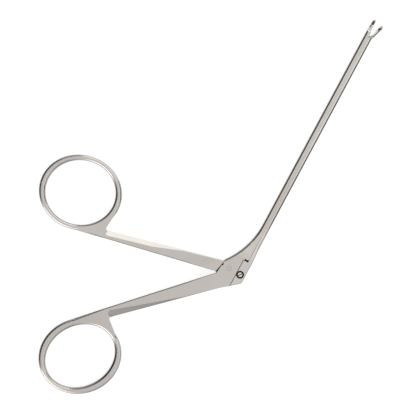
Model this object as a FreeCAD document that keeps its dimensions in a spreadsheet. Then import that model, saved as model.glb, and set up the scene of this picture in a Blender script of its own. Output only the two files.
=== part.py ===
"""Ear punch forceps with a sliding shaft and cup jaws, in millimetres.

The forceps lie flat. The origin is on the axis of the handle pivot, at the underside of the box.
+X runs along the shaft to the jaws, the two finger rings lie on the +Y side, and +Z is up.
Every piece is symmetric about its own mid-plane, so each is drawn about z = 0 and then raised
by half the depth of the box. The jaws stand open and the handles stand apart, at the open stop.
"""
import FreeCAD, Part

import math
import os
import re

import Sketcher

os.makedirs("parts", exist_ok=True)
doc = FreeCAD.newDocument("ear_punch_forceps")
V = FreeCAD.Vector

SIZES = [
    ("overrun", 1.0, "how far a cut runs on past the material"),
    ("box_depth", 4.0, "depth of box, shanks and rings, through the thickness"),
    ("pin_gap", 0.03, "radial clearance of a pin in a hole that turns on it"),
    ("guide_gap", 0.03, "clearance between sliding faces"),
    ("stop_gap", 0.03, "what is left between two faces at a stop"),
    ("pivot_radius", 0.75, "radius of the handle pivot"),
    ("lever_arm", 3.8, "handle pivot to drive screw"),
    ("lever_lead", 1.5, "how far the lever lags behind square at rest, degrees"),
    ("handle_swing", 7.0, "how far the finger handle turns to close the jaws, degrees"),
    ("lever_slot", 1.5, "width of the slot that the lever runs in"),
    ("lever_end_radius", 1.25, "rounded end of the lever"),
    ("lever_rear", 2.0, "handle pivot to the rear edge of the lever"),
    ("lever_heel", 2.95, "handle pivot to the heel of the lever, under the shoulder"),
    ("lever_front", 1.5, "handle pivot to the front corner of the lever"),
    ("lever_shoulder", 2.1, "handle pivot up to the front corner of the lever"),
    ("lever_top", 4.7, "handle pivot up to the lever's end inside the shank"),
    ("lever_top_front", 0.3, "handle pivot to the lever's front corner inside the shank"),
    ("screw_radius", 0.6, "shoulder of the drive screw"),
    ("screw_head_radius", 0.8, "head of the drive screw"),
    ("screw_head_height", 0.5, "head of the drive screw"),
    ("screw_well_radius", 1.2, "counterbore around the screw head"),
    ("screw_well_depth", 0.6, "counterbore around the screw head"),
    ("screw_head_bevel", 0.13, "bevelled edge of the screw head"),
    ("driver_slot_width", 0.28, "screwdriver slot"),
    ("driver_slot_depth", 0.25, "screwdriver slot"),
    ("driver_slot_turn", -37, "direction of the screwdriver slot, degrees"),
    ("cheek_height", 2.49, "handle pivot to the cheek edge of the box"),
    ("cheek_tilt", 5.7, "fall of the cheek edge towards the shaft, degrees"),
    ("cheek_left", 3.45, "cheek edge, from square above the pivot to the shank"),
    ("cheek_right", 1.65, "cheek edge, from square above the pivot to the web"),
    ("nick_radius", 0.45, "relief in the cheek edge above the pivot"),
    ("shoulder_relief", 0.2, "drilled relief in the corner at the rail"),
    ("box_drop", 2.62, "handle pivot to the underside of the box"),
    ("box_rear", 4.6, "handle pivot to the rear end of the box's underside"),
    ("slot_rear", 3.5, "handle pivot to the rear wall of the lever slot"),
    ("slot_front", 2.3, "handle pivot to the front wall of the lever slot"),
    ("split_drop", 4.15, "handle pivot to the line between rail and strip"),
    ("split_relief", 0.1, "how far the box stands off the strip at the shoulder"),
    ("rail_height", 1.47, "fixed half of the shaft"),
    ("strip_height", 1.03, "sliding half of the shaft"),
    ("shaft_width", 2.3, "shaft, through the thickness"),
    ("rail_round", 0.72, "rounded upper edges of the shaft and the web"),
    ("strip_round", 0.48, "rounded lower edges of the shaft"),
    ("web_reach", 16.5, "handle pivot to where the web has run out into the shaft"),
    ("taper_start", 4.9, "handle pivot to where the box starts to thin"),
    ("taper_end", 15.5, "handle pivot to where the box has thinned to the shaft"),
    ("block_front", 4.25, "front shoulder of the sliding block"),
    ("block_drop", 5.42, "handle pivot to the underside of the sliding block"),
    ("block_heel", 2.25, "handle pivot to the lower rear corner of the sliding block"),
    ("block_rise", 4.0, "length over which the block's underside rises to the strip"),
    ("fork_half", 1.6, "half the length of the fork slot in the sliding block"),
    ("edge_break", 0.1, "broken edges where the block, the box and the handle meet"),
    ("tongue_reach", 1.1, "tongue on the front of the block, into the box"),
    ("tongue_width", 1.3, "tongue on the front of the block, through the thickness"),
    ("tongue_drop", 0.25, "top of the block down to its tongue"),
    ("guide_neck", 0.7, "neck of the T-shaped guide"),
    ("guide_neck_height", 0.4, "neck of the T-shaped guide"),
    ("guide_head", 1.2, "head of the T-shaped guide"),
    ("guide_head_height", 0.4, "head of the T-shaped guide"),
    ("guide_start", 6.3, "rear end of the T-shaped guide"),
    ("guide_setback", 3.7, "jaw pivot back to the front end of the T-shaped guide"),
    ("jaw_pivot_reach", 80.7, "handle pivot to jaw pivot, along the shaft"),
    ("jaw_swing", 21.0, "how far the moving jaw opens, degrees"),
    ("jaw_pin_radius", 0.28, "jaw pivot pin"),
    ("drive_pin_radius", 0.22, "pin that drives the jaw"),
    ("drive_pin_drop", 0.55, "line between rail and strip to the drive pin"),
    ("jaw_slot", 0.86, "width of the slot that the jaw's root sits in"),
    ("jaw_plate", 0.8, "thickness of the jaw's root"),
    ("jaw_slot_rear", 1.5, "jaw pivot to the rear end of the jaw slot"),
    ("jaw_slot_front", 1.2, "jaw pivot to the front end of the jaw slot"),
    ("neck_width", 1.3, "arm of either jaw, through the thickness"),
    ("cup_reach", 5.7, "jaw pivot to the front end of the cups"),
    ("cup_length", 2.15, "each cup"),
    ("cup_radius", 1.1, "each cup, across its section"),
    ("cup_wall", 0.22, "wall of a cup"),
    ("cup_nose", 0.9, "rounded front of a cup"),
    ("cup_heel", 0.6, "rounded back of a cup"),
    ("cup_lap", 0.4, "how far an arm runs into its cup"),
    ("cup_sink", 0.06, "how far an arm lies below the outside of its cup"),
    ("arm_lead", 0.3, "jaw slot to the start of the fixed jaw's arm"),
    ("arm_narrowing", 1.4, "length over which the fixed jaw's arm narrows"),
    ("arm_flank", 1.6, "radius of the narrowing flanks of the fixed jaw's arm"),
    ("arm_hollow", 6.0, "radius of the hollow under the fixed jaw's arm"),
    ("arm_dip", 0.06, "cup rim to the underside of the fixed jaw's arm"),
    ("arm_round", 0.5, "rounded upper edges of the fixed jaw's arm"),
    ("neck_lead", 0.25, "jaw slot to the start of the moving jaw's arm"),
    ("neck_dip", 0.04, "cup rim to where the hollow in the moving jaw's arm ends"),
    ("neck_climb", 0.27, "how far the hollow climbs from the jaw's root to the cup"),
    ("neck_hollow", 8.0, "radius of the hollow in the moving jaw's arm"),
    ("neck_round", 0.4, "rounded lower edges of the moving jaw's arm"),
    ("jaw_boss", 0.6, "moving jaw's boss around its pivot"),
    ("jaw_foot", 0.5, "moving jaw's root around the drive pin"),
    ("nose_slot_rear", 1.2, "drive pin to the rear end of the slot in the slide's nose"),
    ("pin_end_bevel", 0.04, "bevelled ends of the pins"),
    ("rim_rise", 0.25, "line between rail and strip up to where the cup rims meet"),
    ("ring_half_short", 11.25, "outside of a ring, half its short axis"),
    ("ring_stretch", 1.25, "how much longer the other half axis is"),
    ("ring_round", 0.72, "rounded edges of a ring"),
    ("ring_side", 1.15, "middle line of a shank to the side of its ring"),
    ("shank_bevel", 0.25, "small bevel along the shank's edges"),
    ("root_bevel", 0.05, "the same bevel at the shank's root"),
    ("ring_sink", 0.04, "how far a shank's end lies below the side of its ring"),
    ("facet_slope", 36, "slope of the long facet on the outer side of a shank, degrees"),
    ("facet_start", 15.0, "handle pivot to where the facet starts"),
    ("facet_middle", 24.0, "handle pivot to the section in mid-facet"),
    ("facet_runout", 1.0, "length over which the facet rises to the gusset"),
    ("gusset_start", 38.85, "handle pivot to the gusset between shank and ring"),
    ("gusset_rise", 3.0, "upper end of the gusset, below the ring's middle"),
    ("gusset_inset", 0.62, "upper end of the gusset, in from the ring's end"),
    ("gusset_lap", 0.06, "how far the gusset runs on past the rounding of the hole"),
    ("notch_radius", 0.6, "rounded corner between shank and gusset"),
    ("finger_angle", 102.8, "direction of the finger handle's shank, degrees"),
    ("finger_root_reach", 1.0, "handle pivot to the root of the finger shank, along it"),
    ("finger_root_half", 1.85, "half the finger shank's width at the box"),
    ("finger_tip_half", 1.2, "half the finger shank's width at the ring"),
    ("finger_ring_lap", 2.37, "near end of the finger ring, short of where the gusset starts"),
    ("finger_wall", 1.55, "finger ring, across its side"),
    ("finger_hole_stretch", 0.9, "finger ring's hole, half its long axis less half its short one"),
    ("finger_hole_turn", 9.4, "turn of the hole's long axis away from the shank, degrees"),
    ("finger_ridge_middle", 0.21, "ridge of the facet in mid-facet"),
    ("finger_ridge_tip", -0.19, "ridge of the facet at the ring"),
    ("thumb_angle", 134.6, "direction of the thumb handle's shank, degrees"),
    ("thumb_offset", 2.47, "handle pivot to the middle line of the thumb shank"),
    ("thumb_root_reach", 4.5, "handle pivot to the root of the thumb shank, along it"),
    ("thumb_root_lap", 0.3, "how far the thumb shank runs into the box"),
    ("thumb_root_half", 2.3, "half the thumb shank's width at the box"),
    ("thumb_tip_half", 1.5, "half the thumb shank's width at the ring"),
    ("thumb_ring_lap", 1.07, "near end of the thumb ring, short of where the gusset starts"),
    ("thumb_wall", 2.25, "thumb ring, across its side"),
    ("thumb_hole_stretch", 1.9, "thumb ring's hole, half its long axis less half its short one"),
    ("thumb_hole_turn", 12.6, "turn of the hole's long axis away from the shank, degrees"),
    ("thumb_ridge_middle", 0.95, "ridge of the facet in mid-facet"),
    ("thumb_ridge_tip", -0.6, "ridge of the facet at the ring"),
]

# Sizes that follow from the ones above. Each is written once and used by name.
FOLLOWS = {
    "half_depth": "box_depth/2",
    "screw_x": "-lever_arm*sin(lever_lead)",
    "screw_y": "-lever_arm*cos(lever_lead)",
    "travel": "lever_arm*(sin(lever_lead)+sin(handle_swing-lever_lead))",
    "lever_width": "lever_slot-2*guide_gap",
    "lever_lift": "lever_arm*(cos(lever_lead)-cos(handle_swing-lever_lead))",
    "cheek_foot_x": "cheek_height*sin(cheek_tilt)",
    "cheek_foot_y": "cheek_height*cos(cheek_tilt)",
    "cheek_left_x": "cheek_foot_x-cheek_left*cos(cheek_tilt)",
    "cheek_left_y": "cheek_foot_y+cheek_left*sin(cheek_tilt)",
    "cheek_right_x": "cheek_foot_x+cheek_right*cos(cheek_tilt)",
    "cheek_right_y": "cheek_foot_y-cheek_right*sin(cheek_tilt)",
    "shaft_top": "rail_height-split_drop",
    "strip_top": "-split_drop-guide_gap",
    "strip_bottom": "strip_top-strip_height",
    "web_run": "web_reach-cheek_right_x",
    "web_rise": "cheek_right_y-shaft_top",
    "web_radius": "(web_run^2+web_rise^2)/(2*web_rise)",
    "web_top_x": "cheek_right_x-4*rail_round",
    "web_top_y": "shaft_top+web_radius-sqrt(web_radius^2-(web_reach-web_top_x)^2)",
    "shoulder_x": "block_front+travel+stop_gap",
    "shaft_half": "shaft_width/2",
    "taper_run": "taper_end-taper_start",
    "taper_fall": "half_depth-shaft_half",
    "taper_radius": "(taper_run^2+taper_fall^2)/(4*taper_fall)",
    "drive_pin_y": "-split_drop-drive_pin_drop",
    "drive_height": "travel/2/tan(jaw_swing/2)",
    "jaw_pivot_y": "drive_pin_y+drive_height",
    "drive_pin_x": "jaw_pivot_reach-travel/2",
    "rim_y": "rim_rise-split_drop",
    "cup_front": "jaw_pivot_reach+cup_reach",
    "cup_back": "cup_front-cup_length",
    "arm_start": "jaw_pivot_reach+jaw_slot_front+arm_lead",
    "guide_end": "jaw_pivot_reach-guide_setback",
    "ring_half_long": "ring_half_short+ring_stretch",
    "ring_offset": "ring_half_short-ring_side",
    "finger_ring_reach": "gusset_start-finger_ring_lap+ring_half_long",
    "finger_hole_short": "ring_half_short-finger_wall",
    "finger_hole_long": "finger_hole_short+finger_hole_stretch",
    "thumb_ring_reach": "gusset_start-thumb_ring_lap+ring_half_long",
    "thumb_hole_short": "ring_half_short-thumb_wall",
    "thumb_hole_long": "thumb_hole_short+thumb_hole_stretch",
}


def make_sheet():
    """The spreadsheet that every piece takes its driving sizes from."""
    sheet = doc.addObject("Spreadsheet::Sheet", "Sizes")
    for row, (alias, value, note) in enumerate(SIZES, 1):
        sheet.set(f"A{row}", alias)
        sheet.set(f"B{row}", str(value))
        sheet.setAlias(f"B{row}", alias)
        sheet.set(f"C{row}", note)
    doc.recompute()
    return sheet


SHEET = make_sheet()
CELLS = {alias for alias, value, note in SIZES}


def bound(text):
    """An expression in words, with every name replaced by its cell or by what it follows from."""
    def replace(match):
        word = match.group(0)
        if word in FOLLOWS:
            return "(" + bound(FOLLOWS[word]) + ")"
        return "Sizes." + word if word in CELLS else word
    return re.sub(r"[a-z][a-z_]*", replace, str(text))


def size(text):
    """The number that an expression in words has now."""
    answer = SHEET.evalExpression(bound(text))
    return float(getattr(answer, "Value", answer))


def bind(thing, prop, text):
    """Bind one property of a document object to the sheet."""
    thing.setExpression(prop, bound(text))


def plane_of(body, role):
    """One of a body's own origin planes."""
    return next(item for item in body.Origin.OriginFeatures if item.Role == role)


def new_body(name):
    body = doc.addObject("PartDesign::Body", name)
    body.Label = name
    return body


def new_sketch(body, name, role="XY_Plane", x="0", y="0", z="0", turn="0"):
    """A sketch on an origin plane of its body, moved and turned within that plane's own axes."""
    sketch = body.newObject("Sketcher::SketchObject", name)
    sketch.AttachmentSupport = [(plane_of(body, role), "")]
    sketch.MapMode = "FlatFace"
    bind(sketch, ".AttachmentOffset.Base.x", x)
    bind(sketch, ".AttachmentOffset.Base.y", y)
    bind(sketch, ".AttachmentOffset.Base.z", z)
    bind(sketch, ".AttachmentOffset.Rotation.Angle", turn)
    return sketch


def constrain(sketch, kind, text, *where):
    """A dimension of a sketch, bound to the sheet."""
    index = sketch.addConstraint(Sketcher.Constraint(kind, *where, size(text)))
    bind(sketch, f"Constraints[{index}]", text)


def arc_between(start, end, radius, left):
    """The shorter arc from start to end, which turns left or right on its way."""
    chord = end - start
    rise = math.sqrt(max(radius ** 2 - chord.Length ** 2 / 4, 0))
    side = V(-chord.y, chord.x, 0).normalize() * (1 if left else -1)
    centre = (start + end) / 2 + side * rise
    first, last = (start, end) if left else (end, start)
    angles = [math.atan2(point.y - centre.y, point.x - centre.x) for point in (first, last)]
    circle = Part.Circle(centre, V(0, 0, 1), radius)
    return Part.ArcOfCircle(circle, angles[0], angles[1])


def add_loop(sketch, corners, flip=False):
    """A closed loop of lines and arcs.

    A corner is (x, y), or (x, y, radius, "left" or "right") where an arc runs from it to the next
    corner and turns that way. flip mirrors the loop in the sketch's first axis.
    """
    base = sketch.GeometryCount
    loop = []
    for corner in corners:
        x, y, radius, bend = (tuple(corner) + (None, None))[:4]
        loop.append((x, f"-({y})" if flip else y, radius, (bend == "left") != flip))
    points = [V(size(x), size(y), 0) for x, y, radius, left in loop]
    ends = []
    for number, (x, y, radius, left) in enumerate(loop):
        start, end = points[number], points[(number + 1) % len(points)]
        if radius is None:
            sketch.addGeometry(Part.LineSegment(start, end), False)
        else:
            sketch.addGeometry(arc_between(start, end, size(radius), left), False)
        ends.append((2, 1) if radius is not None and not left else (1, 2))
    for number, (x, y, radius, left) in enumerate(loop):
        after = (number + 1) % len(loop)
        joint = (base + number, ends[number][1], base + after, ends[after][0])
        sketch.addConstraint(Sketcher.Constraint("Coincident", *joint))
        constrain(sketch, "DistanceX", x, base + number, ends[number][0])
        constrain(sketch, "DistanceY", y, base + number, ends[number][0])
    for number, (x, y, radius, left) in enumerate(loop):
        if radius is not None:
            constrain(sketch, "Radius", radius, base + number)


def add_circle(sketch, x, y, radius):
    """A circle of a sketch."""
    index = sketch.GeometryCount
    sketch.addGeometry(Part.Circle(V(size(x), size(y), 0), V(0, 0, 1), size(radius)), False)
    constrain(sketch, "DistanceX", x, index, 3)
    constrain(sketch, "DistanceY", y, index, 3)
    constrain(sketch, "Radius", radius, index)


def add_ellipse(sketch, half_long, half_short):
    """An ellipse about the sketch's own origin, long along its first axis."""
    ends = V(size(half_long), 0, 0), V(0, size(half_short), 0)
    sketch.addGeometry(Part.Ellipse(*ends, V(0, 0, 0)), False)
    sketch.exposeInternalGeometry(0)
    sketch.addConstraint(Sketcher.Constraint("Coincident", 0, 3, -1, 1))
    sketch.addConstraint(Sketcher.Constraint("PointOnObject", 1, 1, -1))
    constrain(sketch, "Distance", f"2*({half_long})", 1)
    constrain(sketch, "Distance", f"2*({half_short})", 2)


def pad(body, name, sketch, length, both_ways=True):
    """Material on a sketch, to both sides of it or to its front."""
    feature = body.newObject("PartDesign::Pad", name)
    feature.Profile = sketch
    feature.SideType = "Symmetric" if both_ways else "One side"
    bind(feature, "Length", length)
    doc.recompute()
    return feature


def pocket(body, name, sketch, length="3*box_depth", both_ways=True, from_behind=False):
    """A cut through a sketch. It has to take something away."""
    before = body.Shape.Volume
    feature = body.newObject("PartDesign::Pocket", name)
    feature.Profile = sketch
    feature.SideType = "Symmetric" if both_ways else "One side"
    feature.Reversed = from_behind
    bind(feature, "Length", length)
    doc.recompute()
    if not body.Shape.Volume < before:
        raise ValueError(f"{body.Label}: {name} cuts nothing")
    return feature


def turned(body, name, kind, sketch, angle=180):
    """A Revolution or Groove about the sketch's first axis, the same to both sides of it."""
    feature = body.newObject("PartDesign::" + kind, name)
    feature.Profile = sketch
    feature.ReferenceAxis = (sketch, ["H_Axis"])
    feature.Midplane = True
    feature.Angle = angle
    doc.recompute()
    return feature


def edges_where(feature, test):
    """The names of the edges that a test picks."""
    return [f"Edge{number}" for number, edge in enumerate(feature.Shape.Edges, 1) if test(edge)]


def fillet(body, name, base, test, radius):
    """Rounded edges. The edges are the ones that the test picks."""
    feature = body.newObject("PartDesign::Fillet", name)
    feature.Base = (base, edges_where(base, test))
    bind(feature, "Radius", radius)
    doc.recompute()
    return feature


def chamfer(body, name, base, test, width):
    """Bevelled edges. The edges are the ones that the test picks."""
    feature = body.newObject("PartDesign::Chamfer", name)
    feature.Base = (base, edges_where(base, test))
    bind(feature, "Size", width)
    doc.recompute()
    return feature


def joined(name, pieces):
    """One piece forged from several, raised so that the box stands on z = 0.

    Its faces stay split where the pieces met. Merged into one, they come out with slivers.
    """
    whole = doc.addObject("Part::MultiFuse", name + "_whole")
    whole.Shapes = pieces
    whole.Refine = False
    bind(whole, ".Placement.Base.z", "half_depth")
    whole.Label = name
    return whole


def thinning(sketch, end):
    """The outline in plan of what is cut off the flanks, so that the box thins to the shaft."""
    middle = "(taper_start+taper_end)/2", "(half_depth+shaft_half)/2"
    flank = [
        ("taper_start", "half_depth", "taper_radius", "right"),
        (*middle, "taper_radius", "left"),
        ("taper_end", "shaft_half"),
    ]
    flank += end
    flank += [(end[-1][0], "box_depth"), ("taper_start", "box_depth")]
    add_loop(sketch, flank)
    add_loop(sketch, flank, flip=True)


def ring(body, who, side):
    """A finger ring: an oval band with rounded edges, around a hole that sits slightly turned."""
    centre = {"x": f"{who}_ring_reach", "y": f"{side}*ring_offset"}
    sketch = new_sketch(body, who + "_ring_outline", **centre)
    add_ellipse(sketch, "ring_half_long", "ring_half_short")
    pad(body, who + "_ring_band", sketch, "box_depth")
    sketch = new_sketch(body, who + "_ring_hole", turn=f"{who}_hole_turn", **centre)
    add_ellipse(sketch, f"{who}_hole_long", f"{who}_hole_short")
    hole = pocket(body, who + "_ring_cut", sketch)

    def rims(edge):
        return edge.Length > size("half_depth") * 4
    return fillet(body, who + "_ring_round", hole, rims, "ring_round")


def shank_section(body, who, side, name, reach, half, bevel, ridge, drop):
    """A section across a shank: flat above and below, with a facet down to its outer edge."""
    sketch = body.newObject("Sketcher::SketchObject", f"{who}_{name}")
    sketch.AttachmentSupport = [(plane_of(body, "YZ_Plane"), "")]
    sketch.MapMode = "FlatFace"
    bind(sketch, ".AttachmentOffset.Base.z", reach)
    upper = [
        (f"-({half})", f"half_depth-({bevel})"),
        (f"-({half})+({bevel})", "half_depth"),
        (ridge, "half_depth"),
        (half, f"half_depth-({drop})"),
    ]
    lower = [(across, f"-({up})") for across, up in reversed(upper)]
    corners = [(f"{side}*({across})", up) for across, up in upper + lower]
    add_loop(sketch, corners)
    return sketch


def shank(body, who, side, root_reach):
    """A shank from the box to its ring, along the body's X axis, with the ring on one side."""
    root, tip = f"{who}_root_half", f"{who}_tip_half"
    run = f"(gusset_start-({root_reach}))"

    def half_at(reach):
        return f"({root}+({tip}-{root})*(({reach})-({root_reach}))/{run})"

    def drop_at(half, ridge):
        return f"({half}-({ridge}))*tan(facet_slope)"
    start, middle, end = half_at("facet_start"), half_at("facet_middle"), "(ring_side-ring_sink)"
    ridge_middle, ridge_tip = f"{who}_ridge_middle", f"{who}_ridge_tip"
    sections = [
        ("root", root_reach, root, "root_bevel", f"{root}-root_bevel", "root_bevel"),
        ("start", "facet_start", start, "shank_bevel", f"{start}-shank_bevel", "shank_bevel"),
        ("middle", "facet_middle", middle, "shank_bevel", ridge_middle, drop_at(middle, ridge_middle)),
        ("tip", "gusset_start-facet_runout", tip, "shank_bevel", ridge_tip, drop_at(tip, ridge_tip)),
        ("rise", "gusset_start-0.4*facet_runout", tip, "shank_bevel", f"0.3*{tip}+0.7*({ridge_tip})",
         f"0.7*{drop_at(tip, ridge_tip)}"),
        ("top", "gusset_start", tip, "shank_bevel", f"{tip}-root_bevel", "root_bevel"),
        ("end", f"{who}_ring_reach", end, "ring_round", "0", drop_at(end, "0")),
    ]
    sketches = [shank_section(body, who, side, *section) for section in sections]
    loft = body.newObject("PartDesign::AdditiveLoft", who + "_shank_bar")
    loft.Profile = sketches[0]
    loft.Sections = sketches[1:]
    loft.Ruled = True
    doc.recompute()

    sketch = new_sketch(body, who + "_gusset_outline")
    add_loop(sketch, [
        ("gusset_start", f"(shank_bevel-{tip}+{ridge_tip})/2"),
        (f"{who}_ring_reach", f"(ring_round-{end})/2"),
        (f"{who}_ring_reach", "ring_offset"),
        (f"{who}_ring_reach-ring_half_long+gusset_inset", "ring_offset-gusset_rise"),
        ("gusset_start", f"{tip}+notch_radius", "notch_radius", "right"),
        ("gusset_start-notch_radius", tip),
    ], flip=side < 0)
    pad(body, who + "_gusset", sketch, "box_depth")
    centre = {"x": f"{who}_ring_reach", "y": f"{side}*ring_offset"}
    sketch = new_sketch(body, who + "_gusset_bore", turn=f"{who}_hole_turn", **centre)
    wall = "ring_round+gusset_lap"
    add_ellipse(sketch, f"{who}_hole_long+{wall}", f"{who}_hole_short+{wall}")
    return pocket(body, who + "_gusset_cut", sketch)


def cup(body, name, x, y, up):
    """A cup jaw: a round-nosed half barrel that opens at its rim, hollow inside."""
    for kind, part, wall in (("Revolution", "shell", "0"), ("Groove", "hollow", "cup_wall")):
        sketch = new_sketch(body, f"{name}_{part}", x=x, y=y)
        add_loop(sketch, [
            (wall, "0"),
            (f"cup_length-{wall}", "0"),
            (f"cup_length-{wall}", "cup_radius-cup_nose", f"cup_nose-{wall}", "left"),
            ("cup_length-cup_nose", f"cup_radius-{wall}"),
            ("cup_heel", f"cup_radius-{wall}", f"cup_heel-{wall}", "left"),
            (wall, "cup_radius-cup_heel"),
        ], flip=not up)
        turned(body, f"{name}_{part}_turn", kind, sketch)


def guide(sketch, gap):
    """The T-shaped section of the guide between the two halves of the shaft."""
    neck, head = f"(guide_neck/2+{gap})", f"(guide_head/2+{gap})"
    foot, waist = "-split_drop-0.5*strip_height", f"-split_drop+guide_neck_height-{gap}"
    top = f"-split_drop+guide_neck_height+guide_head_height+{gap}"
    right = [(foot, neck), (waist, neck), (waist, head), (top, head)]
    left = [(up, f"-{across}") for up, across in reversed(right)]
    add_loop(sketch, right + left)


def thumb_frame():
    """The slotted box with its web, the fixed half of the shaft and the fixed cup jaw."""
    body = new_body("thumb_frame")
    angle = "thumb_angle"
    outer = "thumb_offset+thumb_root_half"
    sketch = new_sketch(body, "plate_outline")
    add_loop(sketch, [
        ("cheek_left_x", "cheek_left_y"),
        (f"thumb_root_reach*cos({angle})-({outer})*sin({angle})",
         f"thumb_root_reach*sin({angle})+({outer})*cos({angle})"),
        ("-box_rear", "-box_drop"),
        ("shoulder_x", "-box_drop"),
        ("shoulder_x", "split_relief-split_drop"),
        ("taper_end", "-split_drop"),
        ("arm_start", "-split_drop", "arm_hollow", "right"),
        ("cup_back+cup_lap", "rim_y+arm_dip"),
        ("cup_back+cup_lap", "rim_y+cup_radius-cup_sink"),
        ("arm_start", "shaft_top"),
        ("web_reach", "shaft_top", "web_radius", "right"),
        ("web_top_x", "web_top_y"),
    ])
    pad(body, "plate", sketch, "box_depth")

    sketch = new_sketch(body, "flank_outline", "XZ_Plane")
    thinning(sketch, [
        ("arm_start", "shaft_half", "arm_flank", "left"),
        ("arm_start+arm_narrowing", "neck_width/2"),
        ("cup_front+overrun", "neck_width/2"),
    ])
    flanks = pocket(body, "flanks", sketch, "6*box_depth")

    def shaft_edges(edge):
        box, middle = edge.BoundBox, edge.valueAt(edge.getParameterByLength(edge.Length / 2))
        on_top = middle.y > size("shaft_top") - 0.01 and middle.x > size("cheek_right_x")
        return on_top and box.XLength > 3 and abs(middle.z) > size("shaft_half") - 0.01
    rail = fillet(body, "rail_edges", flanks, shaft_edges, "rail_round")

    def arm_edges(edge):
        box, middle = edge.BoundBox, edge.valueAt(edge.getParameterByLength(edge.Length / 2))
        on_top = middle.y > size("rim_y+cup_radius-cup_sink") - 0.01 and middle.x > size("arm_start")
        return on_top and box.XLength > 1 and abs(middle.z) > size("neck_width/2") - 0.01
    fillet(body, "arm_edges", rail, arm_edges, "arm_round")
    corner = {"x": "cheek_left_x", "y": "cheek_left_y"}
    sketch = new_sketch(body, "cheek_edge_outline", turn="-cheek_tilt", **corner)
    cheek_run = "cheek_left+cheek_right+rail_round"
    add_loop(sketch, [("0", "0"), (cheek_run, "0"), (cheek_run, cheek_run), ("0", cheek_run)])
    cheek = pocket(body, "cheek_edge_cut", sketch)

    def box_edges(edge):
        middle = edge.valueAt(edge.getParameterByLength(edge.Length / 2))
        turn = math.radians(size("cheek_tilt"))
        past_cheek = middle.x * math.sin(turn) + middle.y * math.cos(turn) - size("cheek_height")
        past_floor = middle.y + size("box_drop")
        at_shoulder = abs(middle.x - size("shoulder_x")) < 0.01
        joint = at_shoulder or abs(past_floor) < 0.01 or abs(past_cheek) < 0.01
        return joint and abs(middle.z) > size("half_depth") - 0.01
    chamfer(body, "box_edges_broken", cheek, box_edges, "edge_break")

    cup(body, "fixed_cup", "cup_back", "rim_y+0.5*stop_gap", True)

    sketch = new_sketch(body, "lever_slot_outline")
    add_loop(sketch, [
        ("-slot_rear", "-box_drop-overrun"),
        ("slot_front", "-box_drop-overrun"),
        ("slot_front", "2*cheek_height"),
        ("-slot_rear", "2*cheek_height"),
    ])
    pocket(body, "lever_slot_cut", sketch, "lever_slot")

    sketch = new_sketch(body, "tongue_slot_outline")
    add_loop(sketch, [
        ("block_front", "-split_drop-overrun"),
        ("shoulder_x+tongue_reach+guide_gap", "-split_drop-overrun"),
        ("shoulder_x+tongue_reach+guide_gap", "guide_gap-box_drop-tongue_drop"),
        ("block_front", "guide_gap-box_drop-tongue_drop"),
    ])
    pocket(body, "tongue_slot", sketch, "tongue_width+2*guide_gap")

    sketch = new_sketch(body, "guide_groove_outline", "YZ_Plane", z="guide_start-2*guide_gap")
    guide(sketch, "guide_gap")
    groove_run = "guide_end-guide_start+travel+4*guide_gap"
    pocket(body, "guide_groove", sketch, groove_run, both_ways=False, from_behind=True)

    sketch = new_sketch(body, "jaw_slot_outline", "XZ_Plane")
    add_loop(sketch, [
        ("jaw_pivot_reach-jaw_slot_rear", "-jaw_slot/2"),
        ("jaw_pivot_reach+jaw_slot_front", "-jaw_slot/2"),
        ("jaw_pivot_reach+jaw_slot_front", "jaw_slot/2"),
        ("jaw_pivot_reach-jaw_slot_rear", "jaw_slot/2"),
    ])
    pocket(body, "jaw_slot_cut", sketch, "6*box_depth")

    sketch = new_sketch(body, "holes")
    add_circle(sketch, "0", "0", "pivot_radius")
    add_circle(sketch, "jaw_pivot_reach", "jaw_pivot_y", "jaw_pin_radius")
    add_circle(sketch, "cheek_foot_x", "cheek_foot_y", "nick_radius")
    add_circle(sketch, "shoulder_x", "-split_drop", "shoulder_relief")
    pocket(body, "holes_cut", sketch)
    return body


def make_thumb_handle():
    frame = thumb_frame()
    bar, band = new_body("thumb_shank"), new_body("thumb_ring")
    shank(bar, "thumb", 1, "thumb_root_reach-thumb_root_lap")
    ring(band, "thumb", 1)
    for body in (bar, band):
        bind(body, ".Placement.Rotation.Angle", "thumb_angle")
        bind(body, ".Placement.Base.x", "-thumb_offset*sin(thumb_angle)")
        bind(body, ".Placement.Base.y", "thumb_offset*cos(thumb_angle)")
    return joined("thumb_handle", [frame, bar, band])


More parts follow.
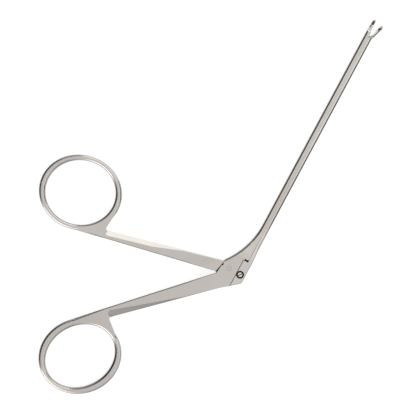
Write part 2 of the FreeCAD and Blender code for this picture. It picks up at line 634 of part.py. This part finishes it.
def make_finger_handle():
    """The handle that turns, with its shoulder rocking on the cheek edge and its thin lever."""
    bar, band, lever = new_body("finger_shank"), new_body("finger_ring"), new_body("finger_lever")
    shank(bar, "finger", -1, "finger_root_reach")
    ring(band, "finger", -1)
    turn = "(90-cheek_tilt-finger_angle)"
    apex = "((cheek_height+stop_gap)/cos(handle_swing/2))"
    apex_x, apex_y = (f"{apex}*{trig}({turn}-handle_swing/2)" for trig in ("cos", "sin"))
    reach = "2*box_depth"
    right = [f"{reach}*{trig}({turn}-90)" for trig in ("cos", "sin")]
    left = [f"{reach}*{trig}({turn}-handle_swing+90)" for trig in ("cos", "sin")]
    sketch = new_sketch(bar, "shoulder_outline")
    add_loop(sketch, [
        (apex_x, apex_y),
        (f"{apex_x}+{left[0]}", f"{apex_y}+{left[1]}"),
        ("-2*box_depth", f"{apex_y}+{left[1]}"),
        ("-2*box_depth", f"{apex_y}+{right[1]}"),
        (f"{apex_x}+{right[0]}", f"{apex_y}+{right[1]}"),
    ])
    pocket(bar, "shoulder_cut", sketch)
    for body in (bar, band):
        bind(body, ".Placement.Rotation.Angle", "finger_angle")

    sketch = new_sketch(lever, "lever_outline")
    add_loop(sketch, [
        ("-lever_rear", "lever_top"),
        ("-lever_heel", "cheek_height"),
        ("-lever_rear", "cheek_height-lever_heel+lever_rear"),
        ("screw_x-lever_end_radius", "screw_y", "lever_end_radius", "left"),
        ("screw_x", "screw_y-lever_end_radius", "lever_end_radius", "left"),
        ("screw_x+lever_end_radius", "screw_y"),
        ("lever_front", "lever_shoulder"),
        ("lever_top_front", "lever_top"),
    ])
    pad(lever, "lever_plate", sketch, "lever_width")
    sketch = new_sketch(lever, "lever_holes")
    add_circle(sketch, "0", "0", "pivot_radius+pin_gap")
    add_circle(sketch, "screw_x", "screw_y", "screw_radius+pin_gap+lever_lift")
    pocket(lever, "lever_holes_cut", sketch)
    return joined("finger_handle", [bar, band, lever])


def make_slide_bar():
    """The sliding half of the shaft: a forked rear block, a strip with its guide, and a nose."""
    body = new_body("slide_bar")
    nose = "strip_height/2"
    sketch = new_sketch(body, "slide_outline")
    add_loop(sketch, [
        ("-box_rear+guide_gap", "-box_drop-guide_gap"),
        ("-block_heel", "-block_drop"),
        ("taper_start", "-block_drop"),
        ("taper_start+block_rise", "strip_bottom"),
        (f"drive_pin_x+{nose}", "strip_bottom"),
        (f"drive_pin_x+{nose}", "strip_top"),
        ("block_front", "strip_top"),
        ("block_front", "-box_drop-guide_gap"),
    ])
    pad(body, "slide_plate", sketch, "box_depth")
    sketch = new_sketch(body, "slide_flank_outline", "XZ_Plane")
    thinning(sketch, [("cup_front", "shaft_half")])
    flanks = pocket(body, "slide_flanks", sketch, "6*box_depth")

    def lower_edges(edge):
        middle = edge.valueAt(edge.getParameterByLength(edge.Length / 2))
        long_way = edge.BoundBox.XLength > 3 and middle.x > size("taper_start+block_rise")
        return long_way and middle.y < size("strip_bottom") + 0.01
    rounded = fillet(body, "strip_edges", flanks, lower_edges, "strip_round")

    def block_edges(edge):
        middle = edge.valueAt(edge.getParameterByLength(edge.Length / 2))
        on_block = middle.x < size("block_front") + 0.01 and middle.y > size("0.1-block_drop")
        return on_block and abs(middle.z) > size("half_depth") - 0.01
    chamfer(body, "block_edges_broken", rounded, block_edges, "edge_break")
    sketch = new_sketch(body, "nose_outline")
    add_loop(sketch, [
        ("drive_pin_x", "strip_bottom", nose, "left"),
        (f"drive_pin_x+{nose}", f"strip_bottom+{nose}", nose, "left"),
        ("drive_pin_x", "strip_top"),
        ("drive_pin_x", "strip_top+overrun"),
        (f"drive_pin_x+{nose}+overrun", "strip_top+overrun"),
        (f"drive_pin_x+{nose}+overrun", "strip_bottom-overrun"),
        ("drive_pin_x", "strip_bottom-overrun"),
    ])
    pocket(body, "nose_cut", sketch)
    sketch = new_sketch(body, "tongue_outline")
    add_loop(sketch, [
        ("block_front-tongue_drop", "strip_top-tongue_drop"),
        ("block_front+tongue_reach", "strip_top-tongue_drop"),
        ("block_front+tongue_reach", "-box_drop-tongue_drop"),
        ("block_front-tongue_drop", "-box_drop-tongue_drop"),
    ])
    pad(body, "tongue", sketch, "tongue_width")

    sketch = new_sketch(body, "guide_outline", "YZ_Plane", z="guide_start")
    guide(sketch, "0")
    pad(body, "guide_rail", sketch, "guide_end-guide_start", both_ways=False)

    sketch = new_sketch(body, "fork_outline")
    add_loop(sketch, [
        ("screw_x-fork_half", "-block_drop-overrun"),
        ("screw_x+fork_half", "-block_drop-overrun"),
        ("screw_x+fork_half", "0"),
        ("screw_x-fork_half", "0"),
    ])
    pocket(body, "fork_cut", sketch, "lever_slot")

    sketch = new_sketch(body, "nose_slot_outline", "XZ_Plane")
    add_loop(sketch, [
        ("drive_pin_x-nose_slot_rear", "-jaw_slot/2"),
        ("cup_front", "-jaw_slot/2"),
        ("cup_front", "jaw_slot/2"),
        ("drive_pin_x-nose_slot_rear", "jaw_slot/2"),
    ])
    pocket(body, "nose_slot_cut", sketch, "6*box_depth")

    sketch = new_sketch(body, "slide_holes")
    add_circle(sketch, "screw_x", "screw_y", "screw_radius")
    add_circle(sketch, "drive_pin_x", "drive_pin_y", "drive_pin_radius")
    pocket(body, "slide_holes_cut", sketch)
    sketch = new_sketch(body, "screw_well", z="half_depth-screw_well_depth")
    add_circle(sketch, "screw_x", "screw_y", "screw_well_radius")
    pocket(body, "screw_well_cut", sketch, "box_depth", both_ways=False, from_behind=True)
    bind(body, ".Placement.Base.z", "half_depth")
    return body


def make_moving_jaw():
    """The hinged cup jaw, drawn closed about its own pivot and then swung open."""
    body = new_body("moving_jaw")
    rim, heel = "(rim_y-jaw_pivot_y-0.5*stop_gap)", "(cup_reach-cup_length)"
    foot_x, foot_y = "drive_height*sin(jaw_swing/2)", "(-drive_height*cos(jaw_swing/2))"
    neck, lap = "(jaw_slot_front+neck_lead)", f"({heel}+cup_lap)"
    rise = f"({rim}-cup_radius+cup_sink-{foot_y}+jaw_foot)/({lap}-{foot_x})"
    top, bottom = f"({rim}-neck_dip-neck_climb)", f"({foot_y}-jaw_foot+({neck}-{foot_x})*{rise})"
    sketch = new_sketch(body, "jaw_arm_outline")
    add_loop(sketch, [
        (neck, top, "neck_hollow", "left"),
        (lap, f"{rim}-neck_dip"),
        (lap, f"{rim}-cup_radius+cup_sink"),
        (neck, bottom),
    ])
    arm = pad(body, "jaw_arm", sketch, "neck_width")

    def lower_edges(edge):
        middle = edge.valueAt(edge.getParameterByLength(edge.Length / 2))
        wide = abs(middle.z) > size("neck_width/2") - 0.01
        return wide and edge.BoundBox.XLength > 1 and middle.y < size(f"{rim}-cup_radius/2-neck_dip")
    fillet(body, "jaw_arm_edges", arm, lower_edges, "neck_round")
    sketch = new_sketch(body, "jaw_outline")
    add_loop(sketch, [
        ("-jaw_boss", "0", "jaw_boss", "right"),
        ("0", "jaw_boss", "jaw_boss", "right"),
        ("jaw_boss", "0"),
        ("jaw_slot_front-neck_lead", top),
        (neck, top),
        (f"{neck}+cup_lap", f"({top}+{bottom})/2"),
        (neck, bottom),
        (foot_x, f"{foot_y}-jaw_foot", "jaw_foot", "right"),
        (f"{foot_x}-jaw_foot", foot_y),
    ])
    pad(body, "jaw_root", sketch, "jaw_plate")
    cup(body, "moving_cup", heel, rim, False)

    sketch = new_sketch(body, "jaw_pivot_hole")
    add_circle(sketch, "0", "0", "jaw_pin_radius+pin_gap")
    pocket(body, "jaw_pivot_hole_cut", sketch)
    sketch = new_sketch(body, "jaw_slot_shape", turn="jaw_swing/2-90")
    half = "drive_pin_radius+pin_gap"
    far = "drive_height/cos(jaw_swing/2)+0.5*pin_gap"
    near = "drive_height-0.5*pin_gap"
    add_loop(sketch, [
        (near, f"-({half})"),
        (far, f"-({half})", half, "left"),
        (f"{far}+{half}", "0", half, "left"),
        (far, half),
        (near, half, half, "left"),
        (f"{near}-({half})", "0", half, "left"),
    ])
    pocket(body, "jaw_slot_shape_cut", sketch)
    bind(body, ".Placement.Rotation.Angle", "-jaw_swing")
    bind(body, ".Placement.Base.x", "jaw_pivot_reach")
    bind(body, ".Placement.Base.y", "jaw_pivot_y")
    bind(body, ".Placement.Base.z", "half_depth")
    return body


def make_pin(name, radius, length, x, y):
    """A rivet with its ends dressed flush, standing across the forceps."""
    body = new_body(name)
    sketch = new_sketch(body, name + "_outline")
    add_circle(sketch, "0", "0", radius)
    bar = pad(body, name + "_bar", sketch, length)
    chamfer(body, name + "_ends", bar, lambda edge: edge.Closed, "pin_end_bevel")
    bind(body, ".Placement.Base.x", x)
    bind(body, ".Placement.Base.y", y)
    bind(body, ".Placement.Base.z", "half_depth")
    return body


def make_drive_screw():
    """The slotted screw that holds the fork around the lever. Its head lies in the well."""
    body = new_body("drive_screw")
    floor = "(half_depth-screw_well_depth)"
    sketch = new_sketch(body, "screw_shank_outline", z="-half_depth")
    add_circle(sketch, "0", "0", "screw_radius")
    pad(body, "screw_shank", sketch, f"half_depth+{floor}", both_ways=False)
    sketch = new_sketch(body, "screw_head_outline", z=floor)
    add_circle(sketch, "0", "0", "screw_head_radius")
    head = pad(body, "screw_head", sketch, "screw_head_height", both_ways=False)
    top = size(f"{floor}+screw_head_height")

    def rim(edge):
        return edge.BoundBox.ZMin > top - 0.01
    chamfer(body, "screw_head_edge", head, rim, "screw_head_bevel")
    sketch = new_sketch(body, "driver_slot", z=f"{floor}+screw_head_height-driver_slot_depth")
    add_loop(sketch, [
        ("-2*screw_head_radius", "-driver_slot_width/2"),
        ("2*screw_head_radius", "-driver_slot_width/2"),
        ("2*screw_head_radius", "driver_slot_width/2"),
        ("-2*screw_head_radius", "driver_slot_width/2"),
    ])
    pocket(body, "driver_slot_cut", sketch, "box_depth", both_ways=False, from_behind=True)
    bind(body, ".Placement.Rotation.Angle", "driver_slot_turn")
    bind(body, ".Placement.Base.x", "screw_x")
    bind(body, ".Placement.Base.y", "screw_y")
    bind(body, ".Placement.Base.z", "half_depth")
    return body


def check_document():
    """Stop if any object of the document failed."""
    for item in doc.Objects:
        if "Invalid" in item.State or "Error" in item.State:
            raise ValueError(f"{item.Label} failed: {item.State}")


def write_parts(pieces):
    for piece in pieces:
        shape = piece.Shape
        if shape.isNull() or not shape.isValid() or len(shape.Solids) != 1:
            raise ValueError(f"{piece.Label} is not one valid solid")
        shape.exportStep(f"parts/{piece.Label}.step")
        box = shape.BoundBox
        print(f"{piece.Label:18} {shape.Volume:9.3f} mm3   x {box.XMin:7.2f} to {box.XMax:6.2f}"
              f"   y {box.YMin:6.2f} to {box.YMax:6.2f}   z {box.ZMin:5.2f} to {box.ZMax:5.2f}")


PIECES = [
    make_thumb_handle(),
    make_finger_handle(),
    make_slide_bar(),
    make_moving_jaw(),
    make_pin("handle_pivot_pin", "pivot_radius", "box_depth", "0", "0"),
    make_drive_screw(),
    make_pin("jaw_pivot_pin", "jaw_pin_radius", "shaft_width", "jaw_pivot_reach", "jaw_pivot_y"),
    make_pin("jaw_drive_pin", "drive_pin_radius", "shaft_width", "drive_pin_x", "drive_pin_y"),
]
doc.recompute()
check_document()
write_parts(PIECES)
print(f"slide travel {size('travel'):.4f} mm, jaw pivot y {size('jaw_pivot_y'):.4f},"
      f" drive pin x {size('drive_pin_x'):.4f} y {size('drive_pin_y'):.4f}")
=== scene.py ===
"""Ear punch forceps lying flat, dressed in satin steel. Everything is in metres, in the CAD frame.

+X runs along the shaft to the jaws, the finger rings lie on the +Y side, and +Z is up.
"""

import math

import bmesh
import bpy
from mathutils import Matrix, Vector

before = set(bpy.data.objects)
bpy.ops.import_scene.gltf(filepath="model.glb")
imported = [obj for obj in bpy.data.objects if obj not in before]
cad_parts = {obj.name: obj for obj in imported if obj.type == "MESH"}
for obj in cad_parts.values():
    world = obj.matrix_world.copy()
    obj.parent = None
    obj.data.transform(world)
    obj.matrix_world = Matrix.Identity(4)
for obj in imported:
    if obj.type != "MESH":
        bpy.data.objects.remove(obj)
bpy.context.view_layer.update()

MM = 0.001

# The photograph looks straight down. Its right-hand side points VIEW_TURN round from +X.
VIEW_TURN = math.radians(-61.8)
VIEW_CENTRE = (12.966 * MM, 14.101 * MM)
VIEW_PLANE = 2.0 * MM
VIEW_WIDTH = 124.8 * MM
LENS = 200.0
SENSOR = 36.0
NEAREST, FURTHEST = 0.01, 10

# Directions of the two shanks from the box to their rings.
THUMB_TURN = math.radians(134.6)
FINGER_TURN = math.radians(102.8)

# Painted shade: joints, slots and wells are painted dark where the sky is hidden from them within
# CREVICE millimetres: all of the painted shade colour at the first stop of HIDDEN, and unshaded from
# the second one on.
CREVICE = 0.8
CREVICE_SHADE = "1C1917"
HIDDEN = [(0.5, 0.0), (0.86, 1.0)]
SKY_SAMPLES = 8

# The two tones of a steel change over in patches of PATCH millimetres, between the stops of DRIFT.
PATCH = 9
DRIFT = [(0.3, 0.0), (0.7, 1.0)]

# The greys of the grinding lines that give a steel's lowest and highest roughness, how strongly
# the lines dent the surface, and how deep, in millimetres.
LINE_LOW, LINE_HIGH = 0.25, 0.75
LINE_STRENGTH = 0.35
LINE_DEPTH = 0.004

# The flats keep the satin of the belt. Rounded edges, bevels and cups come off the buffing wheel
# smoother: their upward slope, as the height of a unit normal, falls from LEVEL to SLANTED.
BUFFED = 0.14
LEVEL = 1.0
SLANTED = 0.9

# The table: half its width, how far it lies below the forceps so that no two faces share a plane,
# its paint, and how strongly it glows as the camera sees it and as the steel mirrors it.
TABLE_HALF = 3.0
TABLE_DROP = 0.02 * MM
TABLE_PAINT = "9A9A9A"
SEEN_GLOW = 0.85
MIRRORED_GLOW = 0.45

# What stands round the table, as (bearing in degrees, grey, sine of the elevation that it reaches).
# The steep edges of the steel mirror it: tall dark card on the +Y side, with bright soft boxes to
# its left and to its right, and a low grey bench on the -Y side. SKY_BLUR softens its upper edge.
SURROUNDINGS = [
    (-180, 2.3, 0.75), (-165, 1.5, 0.7), (-150, 0.8, 0.6), (-136, 0.35, 0.6), (-120, 0.35, 0.5),
    (-106, 0.4, 0.4), (-80, 0.4, 0.4), (-60, 0.6, 0.4), (-35, 1.5, 0.45), (0, 1.7, 0.5),
    (22, 1.7, 0.6), (29, 0.4, 0.8), (43, 0.3, 0.82), (58, 0.2, 0.86), (73, 0.04, 0.9),
    (103, 0.01, 0.9), (118, 0.02, 0.86), (132, 0.1, 0.82), (140, 1.0, 0.8), (148, 2.4, 0.8),
    (163, 2.4, 0.75), (180, 2.3, 0.75),
]
SKY_BLUR = 0.07

# The ceiling is brighter on the jaws' side: its grey at either end, how far each end lies from
# straight above, and the way across it.
DIM_SKY, BRIGHT_SKY = 0.85, 1.1
SKY_HALF = 0.15
SKY_WAY = (0.974, -0.225, 0.0)

# The black card beside the shaft, in millimetres: where it starts and ends along the shaft, how far
# off it hangs, and where its lower and upper edges are.
FLAG_START, FLAG_END, FLAG_OFF = 16, 84, -17
FLAG_BOTTOM, FLAG_TOP = 5, 44
FLAG_PAINT = "101010"

# The soft box above the shaft, in metres and watts.
LAMP_PLACE = (0.14, -0.035, 0.9)
LAMP_TARGET = (0.06, -0.004, 0.0)
LAMP_WIDTH = 0.16
LAMP_POWER = 0.04


def linear(hex_colour):
    """An sRGB hex colour as linear red, green, blue and alpha."""
    parts = [int(hex_colour[i:i + 2], 16) / 255 for i in (0, 2, 4)]
    return [p / 12.92 if p <= 0.04045 else ((p + 0.055) / 1.055) ** 2.4 for p in parts] + [1.0]


def add(tree, kind, inputs=None, stops=None, **settings):
    """A shader node with its settings, its input values and its links.

    stops are the (place, grey) pairs of a colour ramp.
    """
    node = tree.nodes.new("ShaderNode" + kind)
    for name, value in settings.items():
        setattr(node, name, value)
    for name, value in (inputs or {}).items():
        if isinstance(value, bpy.types.NodeSocket):
            tree.links.new(value, node.inputs[name])
        else:
            node.inputs[name].default_value = value
    for number, (place, grey) in enumerate(stops or []):
        elements = node.color_ramp.elements
        element = elements[number] if number < len(elements) else elements.new(place)
        element.position = place
        element.color = (grey, grey, grey, 1.0)
    return node


def new_material(name):
    """An empty node material, its tree and its output node."""
    material = bpy.data.materials.new(name)
    material.use_nodes = True
    material.node_tree.nodes.clear()
    return material, material.node_tree, add(material.node_tree, "OutputMaterial")


def steel_tone_and_crevice_shade(tree, place, light, dark):
    """Bare steel that drifts between two tones, with shade painted into the depths of the joints."""
    drift = add(tree, "TexNoise", {
        "Vector": place, "Scale": 1 / (PATCH * MM), "Detail": 2.0, "Roughness": 0.5,
    }).outputs["Fac"]
    unshaded = add(tree, "Mix", {
        "Factor": add(tree, "ValToRGB", {"Fac": drift}, DRIFT).outputs["Color"],
        "A": linear(light), "B": linear(dark),
    }, data_type="RGBA").outputs["Result"]
    open_sky = add(tree, "AmbientOcclusion", {
        "Distance": CREVICE * MM,
    }, samples=SKY_SAMPLES).outputs["AO"]
    # Painted shade: the colour darkens where ambient occlusion finds the sky hidden close by.
    return add(tree, "Mix", {
        "Factor": add(tree, "ValToRGB", {"Fac": open_sky}, HIDDEN).outputs["Color"],
        "A": linear(CREVICE_SHADE), "B": unshaded,
    }, data_type="RGBA").outputs["Result"]


def belt_lines(tree, place, grain, run, turn):
    """The grey of grinding lines, grain wide and run long in millimetres, along a direction."""
    along = add(tree, "Mapping", {"Vector": place, "Rotation": (0, 0, -turn)}).outputs["Vector"]
    stretched = add(tree, "Mapping", {
        "Vector": along, "Scale": (1 / (run * MM), 1 / (grain * MM), 1 / (grain * MM)),
    }).outputs["Vector"]
    return add(tree, "TexNoise", {
        "Vector": stretched, "Scale": 1.0, "Detail": 3.0, "Roughness": 0.6,
    }).outputs["Fac"]


def steel(name, light, dark, rough, grain, run, turn=0.0):
    """Stainless steel that was ground along `turn`, buffed on its edges and passivated.

    light and dark are its two tones, rough the lowest and highest roughness of the ground flats,
    grain the width of a grinding line and run its length. Real belt lines are about 0.05 mm wide.
    They are drawn three to six times as wide, to show at all.
    """
    material, tree, output = new_material(name)
    place = add(tree, "TexCoord").outputs["Object"]
    lines = belt_lines(tree, place, grain, run, turn)
    ground = add(tree, "MapRange", {
        "Value": lines, "From Min": LINE_LOW, "From Max": LINE_HIGH,
        "To Min": rough[0], "To Max": rough[1],
    }).outputs["Result"]
    normal = add(tree, "NewGeometry").outputs["Normal"]
    height = add(tree, "SeparateXYZ", {"Vector": normal}).outputs["Z"]
    flat = add(tree, "Math", {0: height}, operation="ABSOLUTE").outputs["Value"]
    sheen = add(tree, "MapRange", {
        "Value": flat, "From Min": SLANTED, "From Max": LEVEL, "To Min": BUFFED, "To Max": ground,
    }).outputs["Result"]
    bump = add(tree, "Bump", {
        "Height": lines, "Strength": LINE_STRENGTH, "Distance": LINE_DEPTH * MM,
    }).outputs["Normal"]
    shader = add(tree, "BsdfPrincipled", {
        "Base Color": steel_tone_and_crevice_shade(tree, place, light, dark), "Metallic": 1.0,
        "Roughness": sheen, "Normal": bump,
    })
    tree.links.new(shader.outputs["BSDF"], output.inputs["Surface"])
    return material


def dress_nodes():
    """Give every piece of the frame its finish."""
    finishes = {
        # Forged steel, ground on a fine belt along the shank: a soft warm grey with faint lines that
        # run with the shank, on flats that are dull beside their buffed edges.
        "thumb_handle": steel("belt_ground_forged_steel_thumb", "C4BFBA", "C0BAB5",
                              (0.24, 0.34), 0.3, 8, THUMB_TURN),
        "finger_handle": steel("belt_ground_forged_steel_finger", "C6C1BC", "BFB9B4",
                               (0.24, 0.34), 0.3, 8, FINGER_TURN),
        # Drawn and milled bar, ground lengthwise: lighter and a little smoother than the forgings,
        # with long straight lines.
        "slide_bar": steel("lengthwise_ground_bar_steel", "CAC6C1", "C5C0BB",
                           (0.22, 0.32), 0.25, 10),
        # Small cup, filed and then buffed all over: the brightest glints and the deepest darks.
        "moving_jaw": steel("buffed_jaw_steel", "C6C2BE", "BAB5B0", (0.18, 0.28), 0.2, 3),
        # Soft rivets, ground off flush with what they hold: the same grey, with shorter lines.
        "handle_pivot_pin": steel("flush_ground_rivet_steel", "C2BDB8", "BBB5B0",
                                  (0.24, 0.34), 0.2, 2),
        "jaw_pivot_pin": steel("flush_ground_jaw_rivet_steel", "C6C3BE", "BFBBB6",
                               (0.24, 0.34), 0.2, 1),
        "jaw_drive_pin": steel("flush_ground_drive_pin_steel", "C6C3BE", "BFBBB6",
                               (0.24, 0.34), 0.2, 1),
        # Bright-turned bar: the lightest piece, so that the head shines inside its dark well.
        "drive_screw": steel("bright_turned_screw_steel", "DAD7D3", "D2CFCA",
                             (0.2, 0.3), 0.15, 1),
    }
    for node, finish in finishes.items():
        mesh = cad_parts[node].data
        mesh.materials.clear()
        mesh.materials.append(finish)


def make_card(name, place, material):
    """A flat card of the studio, two metres square before `place` shapes and places it."""
    bm = bmesh.new()
    bmesh.ops.create_grid(bm, x_segments=1, y_segments=1, size=1.0, matrix=place)
    mesh = bpy.data.meshes.new(name)
    bm.to_mesh(mesh)
    bm.free()
    mesh.materials.append(material)
    card = bpy.data.objects.new(name, mesh)
    bpy.context.scene.collection.objects.link(card)
    return card


def make_table():
    """A plain white table that keeps the forceps' shadow. Its glow only shows and is mirrored."""
    material, tree, output = new_material("white_lacquer_table")
    rays = add(tree, "LightPath").outputs
    mirrored = add(tree, "Math", {0: rays["Is Glossy Ray"], 1: MIRRORED_GLOW},
                   operation="MULTIPLY").outputs["Value"]
    seen = add(tree, "Math", {0: rays["Is Camera Ray"], 1: SEEN_GLOW},
               operation="MULTIPLY").outputs["Value"]
    glow = add(tree, "Emission", {
        "Color": linear("FFFFFF"),
        "Strength": add(tree, "Math", {0: seen, 1: mirrored}, operation="MAXIMUM").outputs["Value"],
    }).outputs["Emission"]
    paint = add(tree, "BsdfDiffuse", {"Color": linear(TABLE_PAINT)}).outputs["BSDF"]
    both = add(tree, "AddShader", {0: paint, 1: glow}).outputs["Shader"]
    tree.links.new(both, output.inputs["Surface"])
    place = Matrix.Translation((0, 0, -TABLE_DROP)) @ Matrix.Scale(TABLE_HALF, 4)
    make_card("table_top", place, material)


def make_flag():
    """A black card that hangs beside the shaft, unseen, and is mirrored in its rounded edge."""
    material, tree, output = new_material("black_card")
    paint = add(tree, "BsdfDiffuse", {"Color": linear(FLAG_PAINT)}).outputs["BSDF"]
    tree.links.new(paint, output.inputs["Surface"])
    middle = Vector(((FLAG_START + FLAG_END) / 2, FLAG_OFF, (FLAG_BOTTOM + FLAG_TOP) / 2)) * MM
    half_length = (FLAG_END - FLAG_START) / 2 * MM
    half_height = (FLAG_TOP - FLAG_BOTTOM) / 2 * MM
    halves = Matrix.Diagonal((half_length, half_height, 1, 1))
    upright = Matrix.Translation(middle) @ Matrix.Rotation(math.radians(90), 4, "X") @ halves
    flag = make_card("black_flag", upright, material)
    flag.visible_camera = False
    flag.visible_diffuse = False
    flag.visible_shadow = False


def make_world():
    """A soft white ceiling over a ring of soft boxes and dark card. The camera sees plain white."""
    world = bpy.data.worlds.new("studio")
    bpy.context.scene.world = world
    world.use_nodes = True
    tree = world.node_tree
    tree.nodes.clear()
    output = add(tree, "OutputWorld")
    direction = add(tree, "TexCoord").outputs["Generated"]
    split = add(tree, "SeparateXYZ", {"Vector": direction}).outputs
    bearing = add(tree, "Math", {
        0: split["Y"], 1: split["X"],
    }, operation="ARCTAN2").outputs["Value"]
    turn = add(tree, "MapRange", {
        "Value": bearing, "From Min": -math.pi, "From Max": math.pi,
    }).outputs["Result"]
    greys = [((angle + 180) / 360, grey) for angle, grey, height in SURROUNDINGS]
    heights = [((angle + 180) / 360, height) for angle, grey, height in SURROUNDINGS]
    sides = add(tree, "ValToRGB", {"Fac": turn}, greys).outputs["Color"]
    tops = add(tree, "ValToRGB", {"Fac": turn}, heights).outputs["Color"]
    above = add(tree, "Math", {0: split["Z"], 1: tops}, operation="SUBTRACT").outputs["Value"]
    open_sky = add(tree, "MapRange", {
        "Value": above, "From Min": -SKY_BLUR, "From Max": SKY_BLUR,
    }).outputs["Result"]
    across = add(tree, "VectorMath", {
        0: direction, 1: SKY_WAY,
    }, operation="DOT_PRODUCT").outputs["Value"]
    sky = add(tree, "MapRange", {
        "Value": across, "From Min": -SKY_HALF, "From Max": SKY_HALF,
        "To Min": DIM_SKY, "To Max": BRIGHT_SKY,
    }).outputs["Result"]
    colour = add(tree, "Mix", {
        "Factor": open_sky, "A": sides, "B": sky,
    }, data_type="RGBA").outputs["Result"]
    shown = add(tree, "Mix", {
        "Factor": add(tree, "LightPath").outputs["Is Camera Ray"],
        "A": colour, "B": linear("FFFFFF"),
    }, data_type="RGBA").outputs["Result"]
    background = add(tree, "Background", {"Color": shown, "Strength": 1.0})
    tree.links.new(background.outputs["Background"], output.inputs["Surface"])


def make_lamp():
    """A square soft box over the shaft, which lifts it a little above the rings."""
    lamp = bpy.data.lights.new("key_soft_box", "AREA")
    lamp.shape = "SQUARE"
    lamp.size = LAMP_WIDTH
    lamp.energy = LAMP_POWER
    holder = bpy.data.objects.new("key_soft_box", lamp)
    holder.location = LAMP_PLACE
    aim = Vector(LAMP_TARGET) - Vector(LAMP_PLACE)
    holder.rotation_euler = aim.to_track_quat("-Z", "Y").to_euler()
    bpy.context.scene.collection.objects.link(holder)


def make_camera():
    """The photograph's view: straight down through a long lens."""
    camera = bpy.data.cameras.new("photo_view")
    camera.lens = LENS
    camera.sensor_width = SENSOR
    camera.clip_start = NEAREST
    camera.clip_end = FURTHEST
    holder = bpy.data.objects.new("photo_view", camera)
    holder.location = (*VIEW_CENTRE, VIEW_PLANE + VIEW_WIDTH / SENSOR * LENS)
    holder.rotation_euler = (0, 0, VIEW_TURN)
    bpy.context.scene.collection.objects.link(holder)
    bpy.context.scene.camera = holder


make_camera()
dress_nodes()
make_table()
make_flag()
make_world()
make_lamp()
bpy.context.scene.view_settings.view_transform = "Standard"
